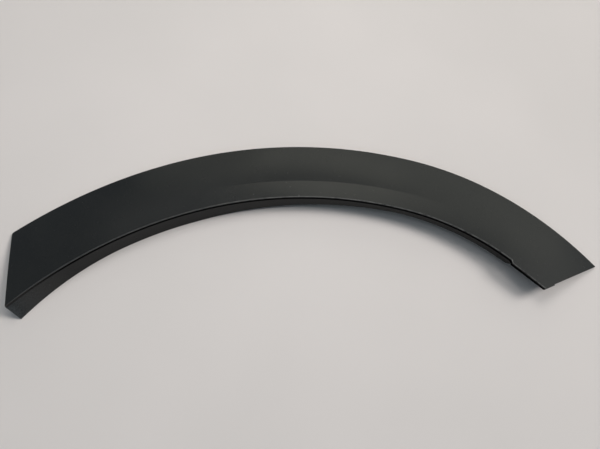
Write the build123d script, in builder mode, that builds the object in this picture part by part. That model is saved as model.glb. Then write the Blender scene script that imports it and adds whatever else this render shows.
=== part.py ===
"""Wheel arch trim: one moulded strip that follows the wheel opening of a car.

It lies face up, as it comes to rest on a table. The face is a shallow cone that
climbs from a flat outer land to a lip above the wheel opening. The lip ends in a
straight hem, a return flange hangs a little behind it, and clip towers and gussets
stand on the hidden side.
Millimetres, +X along the strip, +Y away from the wheel, +Z up from the table.
"""

import os
from math import cos, degrees, pi, radians, sin, tan

from build123d import *

# Plan of the outer edge: two tangent arcs, measured as runs from the apex
main_radius = 443.0
tail_radius = 307.0
tail_start_run = 100.0
left_outer_run = 325.8
left_lip_run = 364.2
right_outer_run = 313.4
right_lip_run = 292.0
left_corner_radius = 3.0

# Face: width from outer edge to lip, and heights above the table
face_width = 70.0
edge_height = 2.4
lip_height = 20.0
face_bulge = 0.8
wall = 2.5
land_width = 4.0
edge_radius = 0.8

# Crease along the lip, deepest near the apex and gone towards both ends
crease_inset = 21.5
crease_depth = 1.2
crease_centre_run = 8.0
crease_half_run = 170.0

# Hem: the edge of the lip and of the tail, turned straight down
hem_depth = 4.2
hem_wall = 4.2

# Return flange: a steep wall, set back under the hem, that flares out at the left end
flange_across = 2.4
flange_lean = 12.0
flange_seat = 0.4
hem_overhang = 1.2
flare_start_run = 235.0
flare_reach = 6.9
flange_left_run = 365.4
flange_left_skew = 2.9
flange_end_run = 246.0
flange_end_radius = 5.0

# Lower edge of the flange: on the table at the left, then a long rise to a level part
lift_start_run = -210.0
lift_end_run = 90.0
lift_start = -2.0
flange_lift = 8.8

# Tail beyond the flange: a small step, a straight edge and a rounded tab
tail_step_run = 242.5
tail_step = 2.7
tail_step_slope = 3.0
tab_width = 12.5
tab_length = 0.9
tab_radius = 2.4

# Clip towers on the hidden side, in rows measured back from the apex
clip_inset = 46.0
clip_rows = (50.0, 78.0, 125.0)
clip_plate_height = 1.0
clip_plate_wall = 2.0
tower_length = 20.0
tower_width = 18.0
tower_wall = 1.8
clip_hole_radius = 4.0
clip_entry_width = 5.2

# Gussets between face and flange
gusset_wall = 1.6
gusset_count = 13
gusset_reach = 20.0
gusset_depth = 6.5

# Stock that is left beyond the finished edges before they are cut
spare = 6.0
end_spare = 36.0
station_count = 15
facing_up = 0.8

main_centre = Vector(0, -main_radius)
turn_at_tail = tail_start_run / main_radius
tail_centre = main_centre + (main_radius - tail_radius) * Vector(sin(turn_at_tail), cos(turn_at_tail))
crease_line = face_width - crease_inset


def heading(run):
    """Turn of the outer edge, in radians clockwise from +X, at a run from the apex."""
    if run <= tail_start_run:
        return run / main_radius
    return turn_at_tail + (run - tail_start_run) / tail_radius


def at(run, inset):
    """Plan point at a run along the outer edge and an inset towards the wheel."""
    turn = heading(run)
    on_main = run <= tail_start_run
    centre = main_centre if on_main else tail_centre
    radius = (main_radius if on_main else tail_radius) - inset
    return centre + radius * Vector(sin(turn), cos(turn))


def section_plane(run):
    """Plane across the strip: X is the inset from the outer edge, Y the height."""
    turn = heading(run)
    return Plane(
        origin=at(run, 0),
        x_dir=(-sin(turn), -cos(turn), 0),
        z_dir=(-cos(turn), sin(turn), 0),
    )


def crease_at(run):
    """Depth of the crease: a raised cosine that is nil beyond its half run."""
    phase = (run - crease_centre_run) / crease_half_run
    return crease_depth * cos(phase * pi / 2) ** 2 if abs(phase) < 1 else 0.0


def face_height(inset, run):
    """Top of the face: a straight climb, a slight bulge and the crease."""
    share = inset / face_width
    climb = edge_height + (lip_height - edge_height) * share
    bulge = 4 * face_bulge * share * (1 - share)
    if inset < crease_line:
        fall = (inset / crease_line) ** 2
    else:
        fall = (face_width - inset) / crease_inset
    return climb + bulge - crease_at(run) * fall


def face_arc(run, start, end, below=0.0):
    """Arc of the face between two insets, a set distance below its top."""
    insets = (start, (start + end) / 2, end)
    return ThreePointArc(*((inset, face_height(inset, run) - below) for inset in insets))


hem_low = lip_height - hem_depth
hem_back = face_width - hem_wall
lip_stock = face_width + tail_step + spare
first_run = -left_lip_run - end_spare
last_run = right_outer_run + end_spare
stations = [first_run + (last_run - first_run) * n / (station_count - 1) for n in range(station_count)]

outer_arcs = (
    (first_run, tail_start_run, main_centre, main_radius),
    (tail_start_run, last_run, tail_centre, tail_radius),
)

# Outline of the face in plan, with its end cuts, the step by the flange's end and the tab
end_cut = at(right_lip_run, face_width) - at(right_outer_run, 0)
end_way = end_cut.normalized()
end_out = Vector(-end_way.Y, end_way.X)
tail_corner = at(right_outer_run, 0) + end_cut
tab_root = tail_corner - tab_width * end_way
with BuildSketch() as face_outline:
    with BuildLine():
        ThreePointArc(
            at(-left_outer_run, 0), at((tail_start_run - left_outer_run) / 2, 0), at(tail_start_run, 0)
        )
        ThreePointArc(
            at(tail_start_run, 0), at((tail_start_run + right_outer_run) / 2, 0), at(right_outer_run, 0)
        )
        Polyline(
            at(right_outer_run, 0),
            tab_root,
            tab_root + tab_length * (end_way + end_out),
            tail_corner + tab_length * end_out,
            at(tail_step_run + tail_step_slope, face_width + tail_step),
            at(tail_step_run, face_width),
        )
        ThreePointArc(
            at(tail_step_run, face_width),
            at((tail_start_run + tail_step_run) / 2, face_width),
            at(tail_start_run, face_width),
        )
        ThreePointArc(
            at(tail_start_run, face_width),
            at((tail_start_run - left_lip_run) / 2, face_width),
            at(-left_lip_run, face_width),
        )
        Line(at(-left_lip_run, face_width), at(-left_outer_run, 0))
    make_face()
    fillet(face_outline.vertices().sort_by_distance(at(-left_outer_run, 0))[0], left_corner_radius)
    fillet(face_outline.vertices().sort_by_distance(tail_corner + tab_length * end_out)[0], tab_radius)

# Face wall: lofted across the stations, with its land and hem, then cut to the outline
with BuildPart() as face:
    for run in stations:
        with BuildSketch(section_plane(run)):
            with BuildLine():
                upper = face_arc(run, -spare, crease_line)
                upper_facet = face_arc(run, crease_line, lip_stock)
                lower_facet = face_arc(run, lip_stock, crease_line, wall)
                lower = face_arc(run, crease_line, -spare, wall)
                Line(upper_facet @ 1, lower_facet @ 0)
                Line(lower @ 1, upper @ 0)
            make_face()
    loft()
    for start, end, centre, radius in outer_arcs:
        with BuildSketch(section_plane(start)):
            with BuildLine():
                Polyline(
                    (-spare, -spare),
                    (land_width, -spare),
                    (land_width, face_height(land_width, first_run) - wall / 2),
                    (-spare, face_height(-spare, first_run) - wall / 2),
                    close=True,
                )
            make_face()
            with Locations((hem_back, hem_low)):
                Rectangle(lip_stock - hem_back, hem_depth - wall / 2, align=Align.MIN)
        revolve(axis=Axis(centre, (0, 0, -1)), revolution_arc=degrees((end - start) / radius))
    with BuildSketch(Plane.XY.offset(-lip_height)):
        add(face_outline.sketch)
    extrude(amount=3 * lip_height, mode=Mode.INTERSECT)
    top, facet = face.faces().filter_by(lambda side: side.normal_at().Z > facing_up)
    rim = [edge for edge in top.edges() if not any(edge.is_same(other) for other in facet.edges())]
    rim += [edge for edge in facet.edges() if not any(edge.is_same(other) for other in top.edges())]
    fillet(rim, edge_radius)


def flange_slope(run):
    """Outward slope of the flange: its lean, and a flare that grows towards the left end."""
    share = max(0.0, (-run - flare_start_run) / (flange_left_run - flare_start_run))
    return tan(radians(flange_lean)) + flare_reach / hem_low * share**2


def flange_line(run, height, behind=0.0):
    """Point of the flange's wheel side at a run and height, or behind it across the wall."""
    return (face_width - hem_overhang + flange_slope(run) * (hem_low - height) - behind, height)


# Space under the face, up to the middle of its wall, of the hem and of the flange
flange_middle = flange_across / 2
with BuildPart() as under_side:
    for run in stations:
        with BuildSketch(section_plane(run)):
            with BuildLine():
                inner = face_arc(run, wall / 2, crease_line, wall / 2)
                lip = face_arc(run, crease_line, flange_line(run, hem_low, flange_middle)[0], wall / 2)
                Polyline(
                    lip @ 1,
                    flange_line(run, hem_low, flange_middle),
                    flange_line(run, -spare, flange_middle),
                    (wall / 2, -spare),
                    inner @ 0,
                )
            make_face()
    loft()


def left_point(height, shorter=0.0, behind=0.0):
    """Point of the flange's left end in space, some run shorter where it is behind the wheel side."""
    inset, _ = flange_line(-flange_left_run, height, behind)
    return at(shorter - flange_left_run, inset) + Vector(0, 0, height)


# Flange: lofted along the lip, cut along its lower edge and skewed at its left end
left_down = left_point(0) - left_point(hem_low)
left_across = left_point(hem_low, flange_left_skew, flange_across) - left_point(hem_low)
left_end = Plane(origin=left_point(hem_low), x_dir=left_down, z_dir=left_down.cross(left_across))
flange_top = hem_low + flange_seat
flange_first = -flange_left_run - spare
flange_length = flange_end_run - flange_first
flange_runs = [flange_first + flange_length * n / (station_count - 1) for n in range(station_count)]
with BuildPart() as flange:
    for run in flange_runs:
        with BuildSketch(section_plane(run)):
            with BuildLine():
                Polyline(
                    flange_line(run, flange_top),
                    flange_line(run, lift_start),
                    flange_line(run, lift_start, flange_across),
                    flange_line(run, flange_top, flange_across),
                    close=True,
                )
            make_face()
    loft()
    with BuildSketch(Plane.XZ) as flange_side:
        with BuildLine():
            foot = at(lift_start_run, face_width).X
            level = at(lift_end_run, face_width).X
            tail = at(flange_end_run, face_width).X
            Polyline(
                (level, flange_lift),
                (tail, flange_lift),
                (tail, lip_height),
                (first_run, lip_height),
                (first_run, lift_start),
                (foot, lift_start),
                close=True,
            )
        make_face()
        fillet(flange_side.vertices().sort_by_distance((tail, flange_lift))[0], flange_end_radius)
    extrude(amount=main_radius, both=True, mode=Mode.INTERSECT)
    split(bisect_by=left_end, keep=Keep.TOP)


def clip_plane(row, side):
    """Clip plate on a row behind the apex, left (-1) or right (+1): X points to that end."""
    on_tail = side > 0 and row > -at(tail_start_run, clip_inset).Y
    centre, radius = (tail_centre, tail_radius) if on_tail else (main_centre, main_radius)
    up = -row - centre.Y
    across = side * ((radius - clip_inset) ** 2 - up**2) ** 0.5
    return Plane(
        origin=(centre.X + across, -row, clip_plate_height),
        x_dir=(side * up, -side * across, 0),
        z_dir=(0, 0, 1),
    )


# Clip towers: open boxes with a keyhole plate, trimmed to the underside of the face
with BuildPart() as towers:
    for plate in [clip_plane(row, side) for row in clip_rows for side in (-1, 1)]:
        with BuildSketch(plate):
            Rectangle(tower_length, tower_width)
        extrude(amount=lip_height)
        with BuildSketch(plate.offset(clip_plate_wall)):
            with Locations((tower_wall, 0)):
                Rectangle(tower_length, tower_width - 2 * tower_wall)
        extrude(amount=lip_height, mode=Mode.SUBTRACT)
        with BuildSketch(plate):
            Circle(clip_hole_radius)
            with Locations((tower_length / 2, 0)):
                Rectangle(tower_length, clip_entry_width)
        extrude(amount=clip_plate_wall, mode=Mode.SUBTRACT)
    add(under_side.part, mode=Mode.INTERSECT)

# Gussets: thin triangles that tie the flange to the face
gusset_span = flange_end_run + left_outer_run
gusset_runs = [gusset_span * (n + 0.5) / gusset_count - left_outer_run for n in range(gusset_count)]
with BuildPart() as gussets:
    for run in gusset_runs:
        with BuildSketch(section_plane(run)):
            with BuildLine():
                Polyline(
                    (face_width - gusset_reach, lip_height),
                    (face_width - gusset_reach, face_height(face_width - gusset_reach, run) - wall),
                    (face_width + spare, lip_height - wall - gusset_depth),
                    (face_width + spare, lip_height),
                    close=True,
                )
            make_face()
        extrude(amount=gusset_wall / 2, both=True)
    add(under_side.part, mode=Mode.INTERSECT)

# One moulding: every form fused, with the outer land cut flat on the table
with BuildPart() as moulding:
    add(face.part)
    add(flange.part)
    add(towers.part)
    add(gussets.part)
    split(bisect_by=Plane.XY, keep=Keep.TOP)

box = moulding.part.bounding_box()
arch_trim = moulding.part.moved(Location((-box.center().X, -box.center().Y, -box.min.Z)))
arch_trim.label = "arch_trim"
os.makedirs("parts", exist_ok=True)
export_step(arch_trim, "parts/arch_trim.step")
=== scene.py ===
"""Wheel arch trim, dressed: one moulded strip of grained dark plastic on a pale table.

The strip is drawn again from the sizes of its solid as smooth closed surfaces: the creased
face with its outer land and hem, the return flange, the clip towers and the gussets.
Metres, +X along the strip, +Y away from the wheel, +Z up from the table.
"""

import logging
import math
from dataclasses import dataclass, field
from enum import Enum
from typing import Any, ClassVar

import bmesh
import bpy
import numpy as np
from mathutils import Matrix, Vector


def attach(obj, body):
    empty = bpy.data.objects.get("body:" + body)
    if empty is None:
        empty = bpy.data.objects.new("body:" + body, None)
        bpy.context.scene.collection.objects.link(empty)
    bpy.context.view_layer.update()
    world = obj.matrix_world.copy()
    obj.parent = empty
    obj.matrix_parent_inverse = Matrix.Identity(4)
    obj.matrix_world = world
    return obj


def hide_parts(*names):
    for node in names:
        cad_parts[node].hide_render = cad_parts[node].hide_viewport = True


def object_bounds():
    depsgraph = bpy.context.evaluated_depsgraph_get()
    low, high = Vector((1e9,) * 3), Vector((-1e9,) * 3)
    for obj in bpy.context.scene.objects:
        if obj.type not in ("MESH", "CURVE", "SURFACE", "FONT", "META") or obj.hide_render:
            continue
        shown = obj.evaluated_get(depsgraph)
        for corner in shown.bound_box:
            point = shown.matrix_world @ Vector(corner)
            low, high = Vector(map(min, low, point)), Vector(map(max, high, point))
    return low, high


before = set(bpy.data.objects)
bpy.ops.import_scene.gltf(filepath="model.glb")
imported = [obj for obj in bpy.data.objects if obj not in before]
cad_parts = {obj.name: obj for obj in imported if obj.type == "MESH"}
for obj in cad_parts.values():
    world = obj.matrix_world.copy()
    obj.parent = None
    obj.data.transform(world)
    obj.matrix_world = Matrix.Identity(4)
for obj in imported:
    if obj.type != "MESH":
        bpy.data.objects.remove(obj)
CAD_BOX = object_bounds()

LOG = logging.getLogger("arch_trim")
BODY = "root"
NODE = "arch_trim"
SLOT = "grained_plastic"
# Vertex value: abrasion on the edges, plus painted highlight on the lip's rim and painted sheen on the
# facet.
WEAR_AND_HIGHLIGHT = "wear_and_highlight"
# Vertex value of painted shade: the groove under the hem and the flange beneath it.
PAINTED_SHADE = "painted_shade"
IMAGE_WIDTH = 600
DAYLIGHT = (1.0, 0.967, 0.935)
CREAM = (1.0, 0.98, 0.80)

Array = np.ndarray
Values = float | np.ndarray
Material = bpy.types.Material
Tint = tuple[float, float, float]
Colour = tuple[float, float, float, float]
Band = tuple[float, float]


class Side(Enum):
    """The two halves of the strip, seen from above with the wheel below."""

    LEFT = -1
    RIGHT = 1


class Arc(Enum):
    """The two tangent arcs of the outer edge."""

    MAIN = "main"
    TAIL = "tail"


# Plan and section of the strip


@dataclass(frozen=True)
class ArchPlan:
    """Plan of the strip: its outer edge is two tangent arcs, measured as runs from the apex.

    The plan's own origin is the apex of the outer edge, with +X along the edge there.
    """

    main_radius: float = 0.443
    tail_radius: float = 0.307
    tail_start_run: float = 0.100
    left_outer_run: float = 0.3258
    left_lip_run: float = 0.3642
    right_outer_run: float = 0.3134
    right_lip_run: float = 0.292

    @property
    def turn_at_tail(self) -> float:
        """Turn of the edge, in radians, where the tighter arc starts."""
        return self.tail_start_run / self.main_radius

    def circle(self, arc: Arc) -> tuple[Array, float]:
        """Centre in plan and outer radius of one arc."""
        centre = np.array([0.0, -self.main_radius])
        if arc is Arc.MAIN:
            return centre, self.main_radius
        ray = np.array([math.sin(self.turn_at_tail), math.cos(self.turn_at_tail)])
        return centre + (self.main_radius - self.tail_radius) * ray, self.tail_radius

    def heading(self, run: Values) -> Array:
        """Turn of the outer edge, clockwise from +X, at each run: run over radius, arc by arc."""
        beyond = self.turn_at_tail + (run - self.tail_start_run) / self.tail_radius
        return np.where(run <= self.tail_start_run, run / self.main_radius, beyond)

    def point(self, run: Values, inset: Values) -> Array:
        """Plan points at runs along the outer edge and insets towards the wheel.

        Each point is its arc's centre plus (radius - inset) times (sin, cos) of the heading.

        Args:
            run: distance along the outer edge from the apex.
            inset: distance from the outer edge towards the wheel.

        Returns:
            The points, with x and y on the last axis.
        """
        run, inset = np.broadcast_arrays(np.asarray(run, float), np.asarray(inset, float))
        turn = self.heading(run)
        ray = np.stack([np.sin(turn), np.cos(turn)], axis=-1)
        circles = [self.circle(arc) for arc in Arc]
        on_arcs = [centre + (radius - inset)[..., None] * ray for centre, radius in circles]
        return np.where((run <= self.tail_start_run)[..., None], *on_arcs)

    def way(self, run: float) -> Array:
        """Unit vector along the outer edge at a run."""
        turn = float(self.heading(run))
        return np.array([math.cos(turn), -math.sin(turn)])

    def polar(self, places: Array, arc: Arc) -> tuple[Array, Array]:
        """Turns and insets of plan points about the centre of one arc."""
        centre, radius = self.circle(arc)
        x, y = np.moveaxis(places - centre, -1, 0)
        return np.arctan2(x, y), radius - np.hypot(x, y)

    def locate(self, places: Array) -> tuple[Array, Array]:
        """Runs and insets of plan points, the inverse of point().

        Args:
            places: plan points, with x and y on the last axis.

        Returns:
            The run and the inset of each point.
        """
        main_turn, main_inset = self.polar(places, Arc.MAIN)
        tail_turn, tail_inset = self.polar(places, Arc.TAIL)
        on_main = main_turn <= self.turn_at_tail
        tail_run = self.tail_start_run + (tail_turn - self.turn_at_tail) * self.tail_radius
        run = np.where(on_main, main_turn * self.main_radius, tail_run)
        return run, np.where(on_main, main_inset, tail_inset)


@dataclass(frozen=True)
class FaceSection:
    """Section of the face: a climb from outer edge to hem, a slight bulge and a crease."""

    width: float = 0.070
    edge_height: float = 0.0024
    lip_height: float = 0.020
    bulge: float = 0.0008
    wall: float = 0.0025
    land_width: float = 0.004
    edge_radius: float = 0.0008
    hem_depth: float = 0.0042
    hem_wall: float = 0.0042
    crease_inset: float = 0.0215
    crease_depth: float = 0.0012
    crease_centre_run: float = 0.008
    crease_half_run: float = 0.170

    @property
    def hem_low(self) -> float:
        """Height of the hem's lower edge."""
        return self.lip_height - self.hem_depth

    @property
    def crease_line(self) -> float:
        """Inset of the crease from the outer edge."""
        return self.width - self.crease_inset

    def crease(self, run: Values) -> Array:
        """Depth of the crease: a raised cosine of the run that is nil beyond its half run."""
        phase = np.clip((run - self.crease_centre_run) / self.crease_half_run, -1.0, 1.0)
        return self.crease_depth * np.cos(phase * math.pi / 2) ** 2

    def height(self, inset: Values, run: Values) -> Array:
        """Height of the top of the face.

        It is the straight climb, plus a parabola for the bulge, less the crease, which falls as
        the square of the inset to the crease line and in a straight line from there to the lip.

        Args:
            inset: distance from the outer edge.
            run: distance along the outer edge from the apex.

        Returns:
            The heights above the table.
        """
        share = inset / self.width
        climb = self.edge_height + (self.lip_height - self.edge_height) * share
        rise = 4 * self.bulge * share * (1 - share)
        before = (inset / self.crease_line) ** 2
        after = (self.width - inset) / self.crease_inset
        fall = np.where(inset < self.crease_line, before, after)
        return climb + rise - self.crease(run) * fall


# Mesh building


def grid_quads(rows: int, columns: int) -> Array:
    """Quads of a grid whose vertex (i, j) has the number i * columns + j."""
    number = np.arange(rows * columns).reshape(rows, columns)
    corners = (number[:-1, :-1], number[:-1, 1:], number[1:, 1:], number[1:, :-1])
    return np.stack(corners, axis=-1).reshape(-1, 4)


def band_quads(upper: Array, lower: Array) -> Array:
    """Quads of a closed band between two loops of vertex numbers."""
    return np.stack((upper, np.roll(upper, -1), np.roll(lower, -1), lower), axis=-1)


def inward_normals(loop: Array) -> Array:
    """Mitred inward normals of a closed clockwise loop.

    The sum of the normals of the two edges at a vertex, over one plus their dot product, moves
    both edges inwards by the same distance.

    Args:
        loop: plan points of the loop, in order.

    Returns:
        One vector for each point.
    """
    ahead = np.roll(loop, -1, axis=0) - loop
    ahead = ahead / np.linalg.norm(ahead, axis=1, keepdims=True)
    normal = np.stack((ahead[:, 1], -ahead[:, 0]), axis=-1)
    before = np.roll(normal, 1, axis=0)
    return (normal + before) / (1 + np.sum(normal * before, axis=1, keepdims=True))


def unit(vector: Array) -> Array:
    """A vector of length one with the same direction."""
    return vector / np.linalg.norm(vector)


def polyline(share: Array, knots: tuple[float, ...], points: tuple[Array, ...]) -> Array:
    """Plan points on the straight lines between points that lie at given shares, the knots."""
    return np.stack([np.interp(share, knots, axis) for axis in np.transpose(points)], axis=-1)


def corner_arc(corner: Array, start_way: Array, end_way: Array, radius: float, share: Array) -> Array:
    """Points on the arc that rounds a corner between two ways that leave it.

    Args:
        corner: the sharp corner.
        start_way: unit vector from the corner along the side where the arc starts.
        end_way: unit vector from the corner along the side where it ends.
        radius: the arc's radius.
        share: how far along the arc each point lies, from 0 to 1.

    Returns:
        The plan points.
    """
    half = math.acos(float(np.clip(start_way @ end_way, -1.0, 1.0))) / 2
    centre = corner + unit(start_way + end_way) * radius / math.sin(half)
    arm = corner + start_way * radius / math.tan(half) - centre
    sweep = math.pi - 2 * half
    turn_way = math.copysign(1.0, float(start_way[0] * end_way[1] - start_way[1] * end_way[0]))
    angle = -turn_way * sweep * np.asarray(share)
    cosine, sine = np.cos(angle), np.sin(angle)
    turned = np.stack((arm[0] * cosine - arm[1] * sine, arm[0] * sine + arm[1] * cosine), axis=-1)
    return centre + turned


def new_object(name: str, data: bpy.types.ID) -> bpy.types.Object:
    """Adds an object to the scene for a mesh, a lamp or a camera."""
    made = bpy.data.objects.new(name, data)
    bpy.context.scene.collection.objects.link(made)
    return made


@dataclass
class Skin:
    """Vertices, faces and vertex values of a piece under construction."""

    places: list[Array] = field(default_factory=list)
    wear_and_highlight: list[Array] = field(default_factory=list)
    painted_shade: list[Array] = field(default_factory=list)
    faces: list[Any] = field(default_factory=list)
    count: int = 0

    def add(self, places: Array, faces: Any = (), wear_and_highlight: Values = 0.0, painted_shade: Values = 0.0) -> Array:
        """Adds vertices, with faces numbered from the first of them.

        Args:
            places: points, with x, y and z on the last axis.
            faces: rows of vertex numbers.
            wear_and_highlight: how much edge abrasion and painted highlight and sheen each vertex
                carries, from 0 to 1.
            painted_shade: how much painted shade each vertex gets under the rim, from 0 to 1.

        Returns:
            The numbers of the new vertices in the whole skin.
        """
        places = places.reshape(-1, 3)
        size = len(places)
        self.places.append(places)
        for values, given in ((self.wear_and_highlight, wear_and_highlight), (self.painted_shade, painted_shade)):
            values.append(np.broadcast_to(np.asarray(given, float).reshape(-1), (size,)))
        self.faces.extend((np.asarray(face) + self.count).tolist() for face in faces)
        self.count += size
        return np.arange(size) + self.count - size

    def join(self, faces: Array) -> None:
        """Adds faces between vertices that are in the skin already."""
        self.faces.extend(faces.tolist())

    def piece(self, name: str, finish: Material, sharp_angle: float) -> bpy.types.Object:
        """Makes the skin an object of the scene, with its faces outwards and inside the solid's box.

        Args:
            name: the object's name.
            finish: its material.
            sharp_angle: turn between faces, in radians, past which an edge is sharp.

        Returns:
            The object, at the origin.
        """
        mesh = bpy.data.meshes.new(name)
        places = np.clip(np.concatenate(self.places), *np.array(CAD_BOX))
        mesh.from_pydata(places.tolist(), [], self.faces)
        shell = bmesh.new()
        shell.from_mesh(mesh)
        bmesh.ops.recalc_face_normals(shell, faces=shell.faces)
        shell.to_mesh(mesh)
        shell.free()
        for title, values in ((WEAR_AND_HIGHLIGHT, self.wear_and_highlight), (PAINTED_SHADE, self.painted_shade)):
            layer = mesh.attributes.new(title, "FLOAT", "POINT")
            layer.data.foreach_set("value", np.concatenate(values).astype(np.float32))
        mesh.polygons.foreach_set("use_smooth", np.ones(len(mesh.polygons), bool))
        mesh.set_sharp_from_angle(angle=sharp_angle)
        mesh.materials.append(finish)
        mesh.update()
        return new_object(name, mesh)


def prism(floor: Array, roof: Array) -> tuple[Array, list[list[int]]]:
    """A closed prism between two loops of as many points.

    Args:
        floor: points of the first loop, in order.
        roof: points of the second.

    Returns:
        The vertices, floor first, and the faces.
    """
    low = np.arange(len(floor))
    high = low + len(floor)
    return np.concatenate((floor, roof)), [low.tolist(), high.tolist(), *band_quads(high, low).tolist()]


# Sub-assemblies


@dataclass
class Form:
    """A form of the strip: its plan and section, and where the apex of the outer edge lies."""

    plan: ArchPlan
    section: FaceSection
    origin: Array
    name: ClassVar[str]
    sharp_angle: ClassVar[float] = 30.0

    def over(self, places: Array, height: Values) -> Array:
        """Points of the scene over plan points, at heights above the table."""
        height = np.broadcast_to(height, places.shape[:-1])
        return np.concatenate((places + self.origin, height[..., None]), axis=-1)

    def skin(self) -> Skin:
        """Closed surfaces of the form."""
        raise NotImplementedError

    def build(self, finish: Material) -> bpy.types.Object:
        """Makes the form a piece of the scene.

        Args:
            finish: the material of the strip.

        Returns:
            The finished piece.
        """
        return self.skin().piece(self.name, finish, math.radians(self.sharp_angle))


@dataclass
class TrimFace(Form):
    """The face wall of the strip, with its rounded rim, hem, end cuts, tab and flat outer land.

    Half of a rounded corner takes corner_share of a long edge. along_steps and across_steps count
    the grid's points on each span between its fixed lines, in order.
    """

    name = "trim_face"
    sharp_angle = 42.0
    left_corner_radius: float = 0.003
    tail_step_run: float = 0.2425
    tail_step: float = 0.0027
    tail_step_slope: float = 0.003
    tab_width: float = 0.0125
    tab_length: float = 0.0009
    tab_radius: float = 0.0024
    crease_blend: float = 0.0007
    wall_line: float = 0.0003
    end_share: float = 0.12
    corner_share: float = 0.006
    edge_wear: float = 0.1
    # The lip's rim gets a painted highlight, weak at the left end and full to the right, where it
    # catches the light.
    lip_highlight: float = 0.5
    # The facet beside the lip gets a painted sheen, a paler colour for the light it reflects.
    facet_sheen: float = 0.08
    left_highlight: float = 0.1
    full_highlight_run: float = 0.18
    # Painted shade in the groove under the hem: weaker at the left end, where light reaches in, and full
    # from open_run on.
    left_shade: float = 0.65
    open_run: float = 0.07
    rim_steps: int = 6
    along_steps: tuple[int, ...] = (6, 240, 4, 24, 6)
    across_steps: tuple[int, ...] = (5, 15, 6, 3, 4, 3, 5)

    def outer_chain(self, share: Array) -> Array:
        """Outer edge from the middle of the rounded left corner to the right corner.

        Args:
            share: how far along the edge each point lies; the corner takes the first part.

        Returns:
            The plan points.
        """
        corner, along, down = self.left_corner()
        half_turn, radius = self.corner_share, self.left_corner_radius
        rounded = corner_arc(corner, along, down, radius, 0.5 - 0.5 * share / half_turn)
        start = self.plan.locate(corner_arc(corner, along, down, radius, np.zeros(1)))[0][0]
        part = np.clip((share - half_turn) / (1 - half_turn), 0.0, 1.0)
        run = start + part * (self.plan.right_outer_run - start)
        return np.where((share < half_turn)[:, None], rounded, self.plan.point(run, 0.0))

    def left_corner(self) -> tuple[Array, Array, Array]:
        """Left outer corner, with the ways that leave it along the outer edge and down the cut."""
        corner = self.plan.point(-self.plan.left_outer_run, 0.0)
        down = self.plan.point(-self.plan.left_lip_run, self.section.width) - corner
        return corner, self.plan.way(-self.plan.left_outer_run), unit(down)

    def right_end(self) -> tuple[Array, Array, Array, Array]:
        """Right outer corner, tail corner, and the ways along the cut and out of the end."""
        corner = self.plan.point(self.plan.right_outer_run, 0.0)
        tail = self.plan.point(self.plan.right_lip_run, self.section.width)
        way = unit(tail - corner)
        return corner, tail, way, np.array([-way[1], way[0]])

    def lip_chain(self, share: Array) -> Array:
        """Inner edge from the left lip corner to the middle of the tab's rounded corner.

        It follows the lip's arcs, steps to the wheel's side at the flange's end and runs straight on.

        Args:
            share: how far along the edge each point lies.

        Returns:
            The plan points.
        """
        step_start, step_end, tab_start = self.lip_breaks()
        lip, left = self.section.width, self.plan.left_lip_run
        run = share / step_start * (self.tail_step_run + left) - left
        arcs = self.plan.point(np.minimum(run, self.tail_step_run), lip)
        step_from = self.plan.point(self.tail_step_run, lip)
        step_to = self.plan.point(self.tail_step_run + self.tail_step_slope, lip + self.tail_step)
        tab, back, up = self.tab_corner()
        stop = corner_arc(tab, back, up, self.tab_radius, np.zeros(1))[0]
        knots = (step_start, step_end, tab_start)
        straight = polyline(share, knots, (step_from, step_to, stop))
        part = (share - tab_start) / (1 - tab_start)
        rounded = corner_arc(tab, back, up, self.tab_radius, 0.5 * part)
        chain = np.where((share <= step_start)[:, None], arcs, straight)
        return np.where((share > tab_start)[:, None], rounded, chain)

    def lip_breaks(self) -> tuple[float, float, float]:
        """Shares of the inner edge at which the step starts, the step ends and the tab rounds."""
        span = self.plan.right_lip_run + self.plan.left_lip_run
        start = (self.tail_step_run + self.plan.left_lip_run) / span
        return start, start + self.tail_step_slope / span, 1 - self.corner_share

    def tab_corner(self) -> tuple[Array, Array, Array]:
        """Outer corner of the tab, with the ways that leave it along the tail and up the end."""
        _, tail, way, out = self.right_end()
        corner = tail + self.tab_length * out
        lip = self.section.width + self.tail_step
        back = self.plan.point(self.tail_step_run + self.tail_step_slope, lip) - corner
        return corner, unit(back), -way

    def left_chain(self, share: Array) -> Array:
        """Left end from the middle of the rounded outer corner down to the lip.

        Args:
            share: how far down the cut each point lies.

        Returns:
            The plan points.
        """
        corner, along, down = self.left_corner()
        lip = self.plan.point(-self.plan.left_lip_run, self.section.width)
        radius = self.left_corner_radius
        start = corner_arc(corner, along, down, radius, np.ones(1))[0]
        round_share = radius / self.section.width
        rounded = corner_arc(corner, along, down, radius, 0.5 + 0.5 * share / round_share)
        part = np.clip((share - round_share) / (1 - round_share), 0.0, 1.0)[:, None]
        return np.where((share < round_share)[:, None], rounded, start + part * (lip - start))

    def right_chain(self, share: Array) -> Array:
        """Right end from its outer corner to the middle of the tab's rounded corner.

        Args:
            share: how far down the cut each point lies.

        Returns:
            The plan points.
        """
        corner, tail, way, out = self.right_end()
        root = tail - self.tab_width * way
        shoulder = root + self.tab_length * (way + out)
        tab, back, up = self.tab_corner()
        stop = corner_arc(tab, back, up, self.tab_radius, np.ones(1))[0]
        knots = self.tab_breaks()
        straight = polyline(share, (0.0, *knots), (corner, root, shoulder, stop))
        part = (share - knots[-1]) / (1 - knots[-1])
        rounded = corner_arc(tab, back, up, self.tab_radius, 1 - 0.5 * part)
        return np.where((share > knots[-1])[:, None], rounded, straight)

    def tab_breaks(self) -> tuple[float, float, float]:
        """Shares of the right end at which the tab starts, stands proud and rounds."""
        corner, tail, _, _ = self.right_end()
        length = float(np.linalg.norm(tail - corner))
        root = 1 - self.tab_width / length
        return root, root + self.tab_length / length, 1 - self.tab_radius / length

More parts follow.
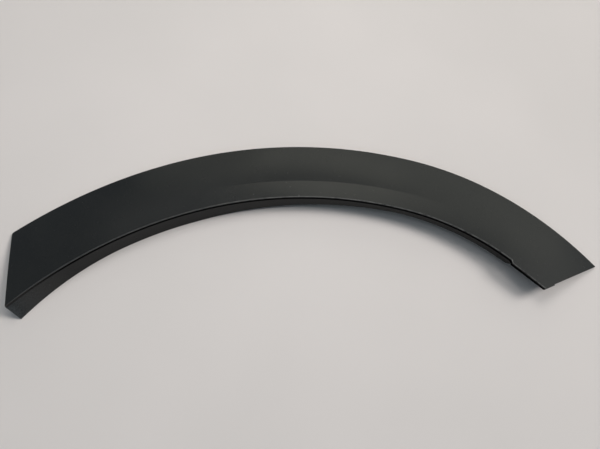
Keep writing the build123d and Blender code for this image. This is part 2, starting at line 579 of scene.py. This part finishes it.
    def across_shares(self) -> Array:
        """Shares across the strip, with lines at the land, the crease, the hem and the tab."""
        face = self.section
        width, rim = face.width, face.edge_radius
        crease = (face.crease_line - rim) / (width - 2 * rim)
        blend = self.crease_blend / width
        land = face.land_width / width
        root, proud, tab = self.tab_breaks()
        wall_line = self.wall_line / width
        hem = 1 - face.hem_wall / width
        ends = (
            (0.0, self.left_corner_radius / width),
            (land + wall_line, crease - blend),
            (crease + blend, root),
            (root, proud),
            (proud, hem),
            (hem + wall_line, tab),
            (tab, 1.0),
        )
        spans = [np.linspace(*end, steps) for end, steps in zip(ends, self.across_steps)]
        return np.unique(np.concatenate((*spans, [land, crease])))

    def along_shares(self) -> Array:
        """Shares along the strip, with lines at the rounded corners, the step and the tab."""
        start, end, tab = self.lip_breaks()
        knots = (0.0, self.corner_share, start, end, tab, 1.0)
        pairs = zip(knots[:-1], knots[1:], self.along_steps)
        return np.unique(np.concatenate([np.linspace(*pair) for pair in pairs]))

    def sheet(self, loop: Array, along: Array, across: Array) -> tuple[Array, Array, Array]:
        """Fills a boundary loop with a grid in runs and insets.

        The grid is ruled from the outer edge to the inner one. Near each end it is corrected by
        what it misses the end cut by, times the square of a share that falls to nil.

        Args:
            loop: plan points of the boundary: outer edge, right end, inner edge, left end.
            along: shares along the strip.
            across: shares across it.

        Returns:
            Plan points, runs and insets of the grid.
        """
        rows = len(along)
        lip_start = rows + len(across) - 2
        frames = np.stack(self.plan.locate(loop), axis=-1)
        outer = frames[:rows]
        right = frames[rows - 1 : lip_start + 1]
        inner = frames[lip_start : lip_start + rows][::-1]
        left = np.concatenate((frames[lip_start + rows - 1 :], frames[:1]))[::-1]
        ruled = outer[:, None] + across[None, :, None] * (inner - outer)[:, None]
        near_left = np.clip(1 - along / self.end_share, 0.0, 1.0)[:, None, None] ** 2
        near_right = np.clip(1 - (1 - along) / self.end_share, 0.0, 1.0)[:, None, None] ** 2
        filled = ruled + near_left * (left - ruled[0]) + near_right * (right - ruled[-1])
        run, inset = filled[..., 0], filled[..., 1]
        return self.plan.point(run, inset), run, inset

    def boundary(self, along: Array, across: Array) -> Array:
        """Plan outline of the face, clockwise from the middle of the rounded left corner."""
        outer = self.outer_chain(along)
        right = self.right_chain(across)[1:]
        inner = self.lip_chain(along)[::-1][1:]
        left = self.left_chain(across)[::-1][1:-1]
        return np.concatenate((outer, right, inner, left))

    def rise(self, run: Array, start: float, full_run: float) -> Array:
        """Straight rise along the lip from a start at its left end to one at the full run."""
        return np.interp(run, (-self.plan.left_lip_run, full_run), (start, 1.0))

    def rub_and_highlight(self, run: Array) -> Array:
        """Strength of the painted highlight on the lip's rim, drawn along with some abrasion: it rises
        from the left end, where the rim catches less light, to its full run.
        """
        return self.rise(run, self.left_highlight, self.full_highlight_run)

    def facet_sheen_share(self, run: Array, inset: Array) -> Array:
        """Painted sheen that makes the facet between crease and lip paler, as the light it reflects
        does: it fades along the strip with the crease.
        """
        beside_lip = inset > self.section.crease_line
        return self.facet_sheen * beside_lip * self.section.crease(run) / self.section.crease_depth

    def skin(self) -> Skin:
        """Builds the face as one closed shell: top, rounded rim, edge, underside, land and hem."""
        along, across = self.along_shares(), self.across_shares()
        rows, columns = len(along), len(across)
        loop = self.boundary(along, across)
        inward = inward_normals(loop)
        radius = self.section.edge_radius
        number = np.arange(rows * columns).reshape(rows, columns)
        edge = np.concatenate((number[:, 0], number[-1, 1:], number[-2::-1, -1], number[0, -2:0:-1]))
        on_lip = np.zeros(len(loop))
        lip_start = rows + columns - 2
        on_lip[lip_start : lip_start + rows] = 1.0
        # Painted shade of the groove along the hem, weaker towards the left end.
        lit_end = self.open_run - self.plan.left_lip_run
        groove = on_lip * self.rise(self.plan.locate(loop)[0], self.left_shade, lit_end)
        skin = Skin()
        places, run, inset = self.sheet(loop + radius * inward, along, across)
        top = self.over(places, self.section.height(inset, run))
        # Painted sheen on the facet, and painted highlight along the lip's top edge.
        rubbed_and_lit = self.facet_sheen_share(run, inset).reshape(-1)
        rubbed_and_lit[edge] = on_lip * self.lip_highlight * self.rub_and_highlight(run.reshape(-1)[edge])
        upper = skin.add(top, grid_quads(rows, columns), wear_and_highlight=rubbed_and_lit)[edge]
        for angle in np.linspace(0.0, math.pi / 2, self.rim_steps)[1:]:
            ring = loop + radius * (1 - math.sin(angle)) * inward
            run, inset = self.plan.locate(ring)
            height = self.section.height(inset, run) - radius * (1 - math.cos(angle))
            # Rim rings: abrasion on every edge, and the painted highlight on the lip's rim.
            worn_and_lit = math.sin(2 * angle) * np.maximum(self.edge_wear, on_lip * self.rub_and_highlight(run))
            lower = skin.add(self.over(ring, height), wear_and_highlight=worn_and_lit)
            skin.join(band_quads(upper, lower))
            upper = lower
        lower = skin.add(self.over(ring, height - self.wall_line), painted_shade=groove)
        skin.join(band_quads(upper, lower))
        upper = lower
        places, run, inset = self.sheet(loop, along, across)
        hollow = np.maximum(self.section.height(inset, run) - self.section.wall, 0.0)
        on_land = across <= self.section.land_width / self.section.width
        on_hem = across > 1 - self.section.hem_wall / self.section.width
        low = np.where(on_land, 0.0, np.where(on_hem, self.section.hem_low, hollow))
        under = self.over(places, low)
        # The underside's edge takes the same painted shade of the groove.
        painted_shade_share = np.zeros(rows * columns)
        painted_shade_share[edge] = groove
        lower = skin.add(under, grid_quads(rows, columns)[:, ::-1], painted_shade=painted_shade_share)[edge]
        skin.join(band_quads(upper, lower))
        return skin


@dataclass
class ReturnFlange(Form):
    """The steep wall behind the hem: on the table and flared at the left, lifted to the right."""

    name = "return_flange"
    sharp_angle = 38.0
    across: float = 0.0024
    lean: float = 12.0
    seat: float = 0.0004
    overhang: float = 0.0012
    flare_start_run: float = 0.235
    flare_reach: float = 0.0069
    left_run: float = 0.3654
    left_skew: float = 0.0029
    end_run: float = 0.246
    end_radius: float = 0.005
    lift_start_run: float = -0.210
    lift_end_run: float = 0.090
    lift_start: float = -0.002
    lift: float = 0.0088
    edge_radius: float = 0.0002
    # Painted shade on the flange under the hem's overhang, faded out over open_run towards the open left
    # end.
    painted_shade: float = 0.42
    open_run: float = 0.07
    side_steps: int = 9
    round_steps: int = 5
    stations: int = 230
    end_stations: int = 16

    def slope(self, run: Values) -> Array:
        """Inset gained for each unit of fall: the lean's tangent, and a square of the flare."""
        start = self.flare_start_run
        share = np.clip((-run - start) / (self.left_run - start), 0.0, 1.0)
        flare = self.flare_reach / self.section.hem_low * share**2
        return math.tan(math.radians(self.lean)) + flare

    def inset(self, run: Values, height: Values, behind: Values) -> Array:
        """Insets of the wall at runs and heights, some way behind its wheel side."""
        root = self.section.width - self.overhang
        return root + self.slope(run) * (self.section.hem_low - height) - behind

    def low_edge(self, run: Array) -> Array:
        """Height of the lower edge at each run.

        It rises in a straight line over the lift's runs, is level from there and is rounded up at
        the tail end by a quarter circle: its radius less the root of its square less the square
        of the way into it.

        Args:
            run: runs along the flange.

        Returns:
            The heights, never under the table.
        """
        ends = np.array([self.lift_start_run, self.lift_end_run, self.end_run])
        foot, level, tail = self.plan.point(ends, self.section.width)[:, 0]
        x = self.plan.point(run, self.section.width)[:, 0]
        low = np.interp(x, (foot, level), (self.lift_start, self.lift))
        into = np.clip(x - (tail - self.end_radius), 0.0, self.end_radius)
        return np.maximum(low + self.end_radius - np.sqrt(self.end_radius**2 - into**2), 0.0)

    def skin(self) -> Skin:
        """Carries the wall's rounded section along the lip, closed at both ends."""
        round_run = self.end_run - 2 * self.end_radius
        turn = np.linspace(0.0, math.pi / 2, self.end_stations)
        rounding = round_run + 2 * self.end_radius * np.sin(turn)
        run = np.concatenate((np.linspace(-self.left_run, round_run, self.stations)[:-1], rounding))
        quarter = np.linspace(0.0, math.pi / 2, self.round_steps)
        swing = self.edge_radius * (1 - np.cos(quarter))
        lift = self.edge_radius * (1 - np.sin(quarter))
        side = np.linspace(0.0, 1.0, self.side_steps)[:-1]
        fall = np.concatenate((side, np.ones(2 * self.round_steps), side[::-1]))
        raised = np.full(len(side), self.edge_radius)
        above = np.concatenate((raised, lift, lift[::-1], raised))
        behind = np.concatenate((0 * side, swing, self.across - swing[::-1], 0 * side + self.across))
        top = self.section.hem_low + self.seat
        height = top + fall * (self.low_edge(run)[:, None] + above - top)
        to_left = (self.end_run - run) / (self.end_run + self.left_run)
        run = run[:, None] + to_left[:, None] * self.left_skew * behind / self.across
        inset = self.inset(run, height, behind)
        rows, columns = height.shape
        skin = Skin()
        wall = self.over(self.plan.point(run, inset), height)
        # Painted shade on the flange, faded out towards its left end.
        painted_shade_share = self.painted_shade * np.clip((run + self.left_run) / self.open_run, 0.0, 1.0)
        number = skin.add(wall, grid_quads(rows, columns), painted_shade=painted_shade_share).reshape(rows, columns)
        closing = (number[:-1, -1], number[:-1, 0], number[1:, 0], number[1:, -1])
        skin.join(np.stack(closing, axis=-1))
        skin.join(number[[0, -1]])
        return skin


@dataclass
class ClipTowers(Form):
    """Open boxes on the hidden side, each with a keyhole plate that takes a push-in clip."""

    name = "clip_towers"
    inset: float = 0.046
    rows: tuple[float, ...] = (0.050, 0.078, 0.125)
    plate_height: float = 0.001
    plate_wall: float = 0.002
    length: float = 0.020
    width: float = 0.018
    wall: float = 0.0018
    hole_radius: float = 0.004
    entry_width: float = 0.0052
    hole_steps: int = 33

    def keyhole(self) -> Array:
        """Outline of the plate: a rectangle with a slot that opens at the end and a round seat."""
        x, y, slot = self.length / 2, self.width / 2, self.entry_width / 2
        mouth = math.asin(slot / self.hole_radius)
        angle = np.linspace(-mouth, mouth - 2 * math.pi, self.hole_steps)
        seat = self.hole_radius * np.column_stack((np.cos(angle), np.sin(angle)))
        corners = [(x, slot), (x, y), (-x, y), (-x, -y), (x, -y), (x, -slot)]
        return np.concatenate((np.array(corners), seat))

    def walls(self) -> Array:
        """Outline of the three walls: a rectangle with a smaller one cut out of its open end."""
        x, y = self.length / 2, self.width / 2
        back, side = -x + self.wall, y - self.wall
        outside = [(x, y), (-x, y), (-x, -y), (x, -y)]
        return np.array([*outside, (x, -side), (back, -side), (back, side), (x, side)])

    def placed(self, outline: Array, row: float, side: Side) -> Array:
        """Turns and moves an outline to its clip's place on a row behind the apex.

        Args:
            outline: plan points about the clip's hole, with x towards the strip's end.
            row: distance of the row behind the apex.
            side: the half of the strip.

        Returns:
            The plan points on the strip.
        """
        tail_row = -float(self.plan.point(self.plan.tail_start_run, self.inset)[1])
        on_tail = side is Side.RIGHT and row > tail_row
        centre, radius = self.plan.circle(Arc.TAIL if on_tail else Arc.MAIN)
        up = -row - centre[1]
        across = side.value * math.sqrt((radius - self.inset) ** 2 - up**2)
        way = np.array([side.value * up, -side.value * across]) / math.hypot(up, across)
        normal = np.array([-way[1], way[0]])
        return centre + np.array([across, up]) + outline[:, :1] * way + outline[:, 1:] * normal

    def skin(self) -> Skin:
        """Builds every tower: a keyhole plate and walls that reach into the face."""
        skin = Skin()
        plate_top = self.plate_height + self.plate_wall
        for row in self.rows:
            for side in Side:
                plate = self.placed(self.keyhole(), row, side)
                skin.add(*prism(self.over(plate, self.plate_height), self.over(plate, plate_top)))
                walls = self.placed(self.walls(), row, side)
                run, inset = self.plan.locate(walls)
                roof = self.section.height(inset, run) - self.section.wall / 2
                skin.add(*prism(self.over(walls, plate_top), self.over(walls, roof)))
        return skin


@dataclass
class Gussets(Form):
    """Thin triangles that tie the flange to the face on the hidden side."""

    name = "gussets"
    flange: ReturnFlange
    wall: float = 0.0016
    count: int = 13
    reach: float = 0.020
    depth: float = 0.0065
    spare: float = 0.006

    def outline(self, run: float) -> Array:
        """Corners of one gusset as insets and heights.

        Its free edge leaves the underside of the face at the gusset's reach and falls in a straight
        line to the middle of the flange's wall, where the two lines are set equal. From there the
        outline climbs inside the flange and the hem to the face.

        Args:
            run: the gusset's run.

        Returns:
            Five corners.
        """
        face, wall = self.section, self.section.wall
        start = face.width - self.reach
        top = float(face.height(start, run))
        fall = (face.lip_height - wall - self.depth - (top - wall)) / (self.reach + self.spare)
        middle = self.flange.across / 2
        slope = float(self.flange.slope(run))
        level = float(self.flange.inset(run, top - wall, middle))
        stop = (level + slope * fall * start) / (1 + slope * fall)
        root = float(self.flange.inset(run, face.hem_low, middle))
        free_end = (stop, top - wall + fall * (stop - start))
        climb = [(root, face.hem_low), (root, face.lip_height - wall / 2)]
        return np.array([(start, top - wall / 2), (start, top - wall), free_end, *climb])

    def skin(self) -> Skin:
        """Builds every gusset as a plate across the strip, evenly spaced along the flange."""
        skin = Skin()
        first = -self.plan.left_outer_run
        span = self.flange.end_run - first
        for run in first + span * (np.arange(self.count) + 0.5) / self.count:
            outline = self.outline(float(run))
            along = self.plan.way(run) * self.wall / 2
            middle, height = self.plan.point(run, outline[:, 0]), outline[:, 1]
            skin.add(*prism(self.over(middle - along, height), self.over(middle + along, height)))
        return skin


# Finishes


@dataclass(frozen=True)
class Sock:
    """A shader socket that takes part in Python arithmetic through Math nodes."""

    bench: "Bench"
    socket: bpy.types.NodeSocket

    def __add__(self, other: "Sock | float") -> "Sock":
        """Sum of two values."""
        return self.bench.math("ADD", self, other)

    __radd__ = __add__

    def __sub__(self, other: "Sock | float") -> "Sock":
        """Difference of two values."""
        return self.bench.math("SUBTRACT", self, other)

    def __rsub__(self, other: "Sock | float") -> "Sock":
        """Difference of a number and this value."""
        return self.bench.math("SUBTRACT", other, self)

    def __mul__(self, other: "Sock | float") -> "Sock":
        """Product of two values."""
        return self.bench.math("MULTIPLY", self, other)


class Bench:
    """Adds and wires the nodes of one material."""

    def __init__(self, name: str) -> None:
        """Starts a material with an empty node tree.

        Args:
            name: the material's name.
        """
        self.material = bpy.data.materials.new(name)
        self.material.use_nodes = True
        self.tree = self.material.node_tree
        self.tree.nodes.clear()

    def node(self, kind: str, settings: dict[str, Any], inputs: dict[Any, Any], output: Any = 0) -> Sock:
        """Adds a node and takes one of its outputs.

        Args:
            kind: the node's type.
            settings: properties that are set before any socket.
            inputs: values or links of its sockets, by name or number.
            output: name or number of the output.

        Returns:
            The output.
        """
        made = self.tree.nodes.new(kind)
        for name, value in settings.items():
            setattr(made, name, value)
        for name, value in inputs.items():
            if isinstance(value, Sock):
                self.tree.links.new(value.socket, made.inputs[name])
            else:
                made.inputs[name].default_value = value
        return Sock(self, made.outputs[output])

    def math(self, operation: str, *values: Sock | float) -> Sock:
        """Adds a Math node for an operation on values."""
        return self.node("ShaderNodeMath", {"operation": operation}, dict(enumerate(values)))

    def place(self) -> Sock:
        """Where a point lies on its object."""
        return self.node("ShaderNodeTexCoord", {}, {}, "Object")

    def vertex_value(self, name: str) -> Sock:
        """A value that the vertices carry, by its name."""
        return self.node("ShaderNodeAttribute", {"attribute_name": name}, {}, "Fac")

    def noise(self, where: Sock, scale: float, detail: float = 2.0) -> Sock:
        """Fractal noise at a place, from 0 to 1, with so many waves to the metre."""
        inputs = {"Vector": where, "Scale": scale, "Detail": detail}
        return self.node("ShaderNodeTexNoise", {"noise_dimensions": "3D"}, inputs)

    def pebbles(self, where: Sock, scale: float) -> Sock:
        """Smoothed distance to the nearest of scattered points, with so many to the metre."""
        inputs = {"Vector": where, "Scale": scale}
        return self.node("ShaderNodeTexVoronoi", {"feature": "SMOOTH_F1"}, inputs)

    def between(self, value: Sock, band: Band) -> Sock:
        """Smooth step of a value from 0 at the band's low end to 1 at its high one."""
        inputs = {"Value": value, "From Min": band[0], "From Max": band[1]}
        return self.node("ShaderNodeMapRange", {"interpolation_type": "SMOOTHSTEP"}, inputs)

    def blend(self, share: Sock, first: Any, second: Any) -> Sock:
        """Mix of two colours, by the numbers of the node's colour sockets."""
        return self.node("ShaderNodeMix", {"data_type": "RGBA"}, {0: share, 6: first, 7: second}, 2)

    def shader(self, inputs: dict[str, Any]) -> Sock:
        """Adds a Principled shader with values or links for its sockets."""
        return self.node("ShaderNodeBsdfPrincipled", {}, inputs)

    def finish(self, surface: Sock) -> Material:
        """Ends the material in the shader to show and returns it."""
        output = self.tree.nodes.new("ShaderNodeOutputMaterial")
        self.tree.links.new(surface.socket, output.inputs["Surface"])
        return self.material


@dataclass(frozen=True)
class GrainedPlastic:
    """Dark charcoal plastic: a fine satin grain, faint clouds, abraded edges with a painted highlight on
    the lip's rim, a painted sheen on the facet, and painted shade in the groove under the rim.
    """

    name: str = SLOT
    deep: Colour = (0.0107, 0.0115, 0.0117, 1.0)
    bloom: Colour = (0.0155, 0.0159, 0.0154, 1.0)
    # Paler colour for abraded edges, the painted highlight on the lip's rim and the painted sheen on the
    # facet.
    rubbed_and_lit: Colour = (0.16, 0.158, 0.150, 1.0)
    # Near black that paints the shade in the groove under the rim and on the flange.
    unlit: Colour = (0.004, 0.004, 0.004, 1.0)
    roughness: float = 0.23
    roughness_swing: float = 0.08
    cloud_scale: float = 14.0
    cloud_detail: float = 3.0
    cloud_band: Band = (0.35, 0.65)
    cloud_share: float = 0.7
    grain_scale: float = 950.0
    mottle_band: Band = (0.3, 0.7)
    pebble_scale: float = 1500.0
    scuff_scale: float = 220.0
    scuff_detail: float = 4.0
    scuff_band: Band = (0.62, 0.78)
    scuff_dulling: float = 0.06
    patch_band: Band = (0.25, 0.6)
    grain_height: float = 0.00003
    grain_strength: float = 0.16
    grain_share: float = 0.6
    rub_and_highlight_share: float = 0.8
    patch_growth: float = 2.0

    def material(self) -> Material:
        """Builds the material from Object coordinates and two vertex values: abrasion with painted
        highlight and sheen, and painted shade.
        """
        bench = Bench(self.name)
        where = bench.place()
        cloud = bench.between(bench.noise(where, self.cloud_scale, self.cloud_detail), self.cloud_band)
        grain = bench.noise(where, self.grain_scale)
        pebble = bench.pebbles(where, self.pebble_scale)
        scuff = bench.between(bench.noise(where, self.scuff_scale, self.scuff_detail), self.scuff_band)
        mottle = bench.between(grain, self.mottle_band)
        bloom = cloud * self.cloud_share + mottle * (1 - self.cloud_share)
        base = bench.blend(bloom, self.deep, self.bloom)
        worn_and_lit = bench.vertex_value(WEAR_AND_HIGHLIGHT)
        patch = bench.between(bench.noise(where, self.scuff_scale), self.patch_band)
        patchy = bench.math("MINIMUM", worn_and_lit * self.patch_growth, 1.0)
        # Share of the paler colour: edge abrasion, painted highlight and painted sheen, in noisy
        # patches.
        rub_and_highlight = worn_and_lit * self.rub_and_highlight_share * (1 - patchy * (1 - patch))
        colour = bench.blend(rub_and_highlight, base, self.rubbed_and_lit)
        sheen = self.roughness + (mottle - 0.5) * self.roughness_swing + scuff * self.scuff_dulling
        relief = grain * self.grain_share + (1 - pebble) * (1 - self.grain_share)
        bump_inputs = {"Height": relief, "Strength": self.grain_strength, "Distance": self.grain_height}
        normal = bench.node("ShaderNodeBump", {}, bump_inputs)
        # The unlit shader is painted shade, mixed in by the vertices' painted shade value.
        unlit = bench.shader({"Base Color": self.unlit, "Roughness": 1.0, "Specular IOR Level": 0.0})
        satin = bench.shader({"Base Color": colour, "Roughness": sheen, "Normal": normal})
        mix_inputs = {0: bench.vertex_value(PAINTED_SHADE), 1: satin, 2: unlit}
        return bench.finish(bench.node("ShaderNodeMixShader", {}, mix_inputs))


@dataclass(frozen=True)
class TableTop:
    """Pale matt table with a faint cloudiness."""

    name: str = "pale_table"
    light: Colour = (0.712, 0.668, 0.645, 1.0)
    shade: Colour = (0.685, 0.645, 0.622, 1.0)
    roughness: float = 0.6
    cloud_scale: float = 5.0
    cloud_band: Band = (0.3, 0.7)

    def material(self) -> Material:
        """Builds the material from Object coordinates."""
        bench = Bench(self.name)
        cloud = bench.between(bench.noise(bench.place(), self.cloud_scale), self.cloud_band)
        colour = bench.blend(cloud, self.shade, self.light)
        return bench.finish(bench.shader({"Base Color": colour, "Roughness": self.roughness}))


# Stage


@dataclass(frozen=True)
class SoftLamp:
    """A broad lamp that faces the trim: its bearing from +Y towards +X, elevation and distance.

    A lamp that isn't mirrored lights the trim but leaves no glare on its satin.
    """

    name: str
    bearing: float
    elevation: float
    distance: float
    size: tuple[float, float]
    power: float
    colour: Tint
    mirrored: bool = True

    def hang(self) -> None:
        """Adds the lamp to the scene."""
        lamp = bpy.data.lights.new(self.name, "AREA")
        lamp.shape = "RECTANGLE"
        lamp.size, lamp.size_y = self.size
        lamp.energy = self.power
        lamp.color = self.colour
        bearing, elevation = math.radians(self.bearing), math.radians(self.elevation)
        level = math.cos(elevation)
        way = Vector((level * math.sin(bearing), level * math.cos(bearing), math.sin(elevation)))
        hung = new_object(self.name, lamp)
        hung.visible_glossy = self.mirrored
        hung.location = self.distance * way
        hung.rotation_euler = way.to_track_quat("Z", "Y").to_euler()


@dataclass
class Studio:
    """Table, window on the right, pale walls and ceiling behind, weak fills, and the camera.

    The window hangs twice, because only a part of its light is mirrored in the satin.
    """

    origin: Array
    table_half: float = 8.0
    lamps: tuple[SoftLamp, ...] = (
        SoftLamp("window", 74.5, 43.3, 12.0, (4.4, 4.4), 590.0, DAYLIGHT, False),
        SoftLamp("window_sheen", 74.5, 43.3, 12.0, (4.4, 4.4), 355.0, DAYLIGHT),
        SoftLamp("back_wall", 13.0, 26.0, 2.0, (3.6, 0.70), 2.45, CREAM),
        SoftLamp("bright_wall", 33.0, 28.0, 2.0, (3.0, 0.70), 1.85, (1.0, 0.995, 0.88)),
        SoftLamp("wall_panel", 5.0, 29.5, 2.0, (1.2, 0.28), 0.22, CREAM),
        SoftLamp("far_wall", -30.0, 37.0, 2.0, (0.9, 0.35), 0.25, (1.0, 0.985, 0.92)),
        SoftLamp("ceiling", 2.0, 63.0, 1.1, (0.55, 0.55), 3.4, DAYLIGHT),
        SoftLamp("side_fill", -75.0, 65.0, 1.0, (0.5, 0.5), 0.75, (0.86, 0.94, 1.0)),
        SoftLamp("front_fill", 165.0, 16.0, 1.5, (1.6, 0.35), 3.4, (0.80, 0.91, 1.0)),
    )
    sky_colour: Colour = (0.73, 0.88, 1.0, 1.0)
    sky_strength: float = 0.15
    camera_at: tuple[float, float, float] = (-0.0338, -0.2740, 0.4145)
    camera_pitch: float = 66.18
    camera_heading: float = -4.356
    camera_roll: float = -6.417
    focal_pixels: float = 450.0
    sensor_width: float = 36.0

    def lay_table(self) -> None:
        """Lays the table's top at height nil."""
        half = self.table_half
        mesh = bpy.data.meshes.new("table")
        corners = [(-half, -half, 0.0), (half, -half, 0.0), (half, half, 0.0), (-half, half, 0.0)]
        mesh.from_pydata(corners, [], [(0, 1, 2, 3)])
        mesh.materials.append(TableTop().material())
        table = new_object("table", mesh)

    def light(self) -> None:
        """Sets an even sky and hangs the broad lamps."""
        world = bpy.data.worlds.new("studio")
        world.use_nodes = True
        sky = world.node_tree.nodes["Background"]
        sky.inputs["Color"].default_value = self.sky_colour
        sky.inputs["Strength"].default_value = self.sky_strength
        bpy.context.scene.world = world
        for lamp in self.lamps:
            lamp.hang()

    def aim_camera(self) -> None:
        """Places the camera from the apex: pitched down, turned about the vertical and rolled."""
        pitch, roll = math.radians(self.camera_pitch), math.radians(self.camera_roll)
        right = Vector((1.0, 0.0, 0.0))
        down = Vector((0.0, -math.sin(pitch), -math.cos(pitch)))
        forward = Vector((0.0, math.cos(pitch), -math.sin(pitch)))
        image_right = math.cos(roll) * right + math.sin(roll) * down
        image_up = math.sin(roll) * right - math.cos(roll) * down
        turned = Matrix((image_right, image_up, -forward)).transposed().to_4x4()
        lens = bpy.data.cameras.new("camera")
        lens.sensor_fit = "HORIZONTAL"
        lens.sensor_width = self.sensor_width
        lens.lens = self.sensor_width * self.focal_pixels / IMAGE_WIDTH
        camera = new_object("camera", lens)
        heading = Matrix.Rotation(math.radians(self.camera_heading), 4, "Z")
        place = Vector(self.camera_at) + Vector((*self.origin, 0.0))
        camera.matrix_world = Matrix.Translation(place) @ heading @ turned
        bpy.context.scene.camera = camera

    def build(self) -> None:
        """Sets up table, light, camera and a plain view transform."""
        self.lay_table()
        self.light()
        self.aim_camera()
        bpy.context.scene.view_settings.view_transform = "Standard"


def main() -> None:
    """Builds the strip's forms in order, dresses them and sets the stage."""
    logging.basicConfig(level=logging.INFO, format="%(name)s: %(message)s")
    plan, section = ArchPlan(), FaceSection()
    right_corner = plan.point(plan.right_outer_run, 0.0)
    origin = np.array([CAD_BOX[1][0] - right_corner[0], CAD_BOX[1][1]])
    finish = GrainedPlastic().material()
    flange = ReturnFlange(plan, section, origin)
    forms = (
        TrimFace(plan, section, origin),
        flange,
        ClipTowers(plan, section, origin),
        Gussets(plan, section, origin, flange),
    )
    for form in forms:
        piece = form.build(finish)
        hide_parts(NODE)
        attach(piece, BODY)
        LOG.info("%s: %d faces", piece.name, len(piece.data.polygons))
    Studio(origin).build()


if __name__ == "__main__":
    main()
